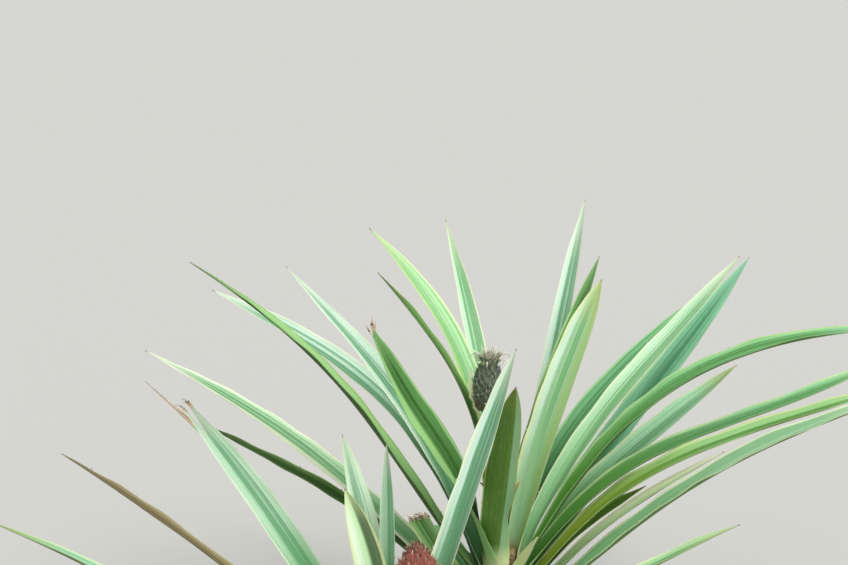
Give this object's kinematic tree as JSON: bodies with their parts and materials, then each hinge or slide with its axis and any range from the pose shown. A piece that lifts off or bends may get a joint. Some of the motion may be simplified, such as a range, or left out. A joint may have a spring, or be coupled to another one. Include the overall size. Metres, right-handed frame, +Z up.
{
  "type": "pineapple plant",
  "caption": "Pineapple plant as a clump of a tall and a smaller rosette of stiff channelled sword leaves, with a young fruit and a red bloom on short stalks.",
  "frame": {"origin": "centre of the main stem's flat cut at ground level", "axes": "+Z up; +X to the right and +Y to the back, seen from the side where the smaller rosette stands in front"},
  "size_m": [1.3663, 1.136, 0.732],
  "materials": {
    "leaf": "waxy grey-green",
    "stem": "dull, scarred",
    "fruit": "dull, scaly",
    "bloom": "dull, scaly"
  },
  "bodies": {
    "root": {"front_bloom": "bloom", "front_leaf_heart_blue": "leaf", "front_leaf_heart_front": "leaf", "front_leaf_heart_small": "leaf", "front_leaf_left_back": "leaf", "front_leaf_left_low": "leaf", "front_leaf_left_pale": "leaf", "front_leaf_left_thin": "leaf", "front_leaf_left_wide": "leaf", "front_leaf_low_front": "leaf", "front_leaf_low_front_left": "leaf", "front_leaf_low_front_right": "leaf", "front_leaf_low_left": "leaf", "front_leaf_low_right": "leaf", "front_leaf_low_side_left": "leaf", "front_leaf_right_low": "leaf", "front_leaf_right_tall": "leaf", "front_stalk": "stem", "front_stem": "stem", "main_crown": "fruit", "main_fruit": "fruit", "main_leaf_back_dark": "leaf", "main_leaf_back_left": "leaf", "main_leaf_back_middle": "leaf", "main_leaf_back_olive": "leaf", "main_leaf_back_right_far": "leaf", "main_leaf_back_right_low": "leaf", "main_leaf_back_right_tall": "leaf", "main_leaf_back_tall": "leaf", "main_leaf_back_wide": "leaf", "main_leaf_front_left_dark": "leaf", "main_leaf_heart_olive": "leaf", "main_leaf_left_arch": "leaf", "main_leaf_left_edge": "leaf", "main_leaf_left_olive": "leaf", "main_leaf_left_pale": "leaf", "main_leaf_left_thin": "leaf", "main_leaf_left_wide": "leaf", "main_leaf_low_back": "leaf", "main_leaf_low_back_left": "leaf", "main_leaf_low_front": "leaf", "main_leaf_low_front_right": "leaf", "main_leaf_low_right": "leaf", "main_leaf_low_side_left": "leaf", "main_leaf_low_side_right": "leaf", "main_leaf_right_arch": "leaf", "main_leaf_right_dark": "leaf", "main_leaf_right_grey": "leaf", "main_leaf_right_long": "leaf", "main_leaf_right_olive": "leaf", "main_leaf_right_pale": "leaf", "main_leaf_right_pale_inner": "leaf", "main_stalk": "stem", "main_stem": "stem"}
  },
  "joints": []
}
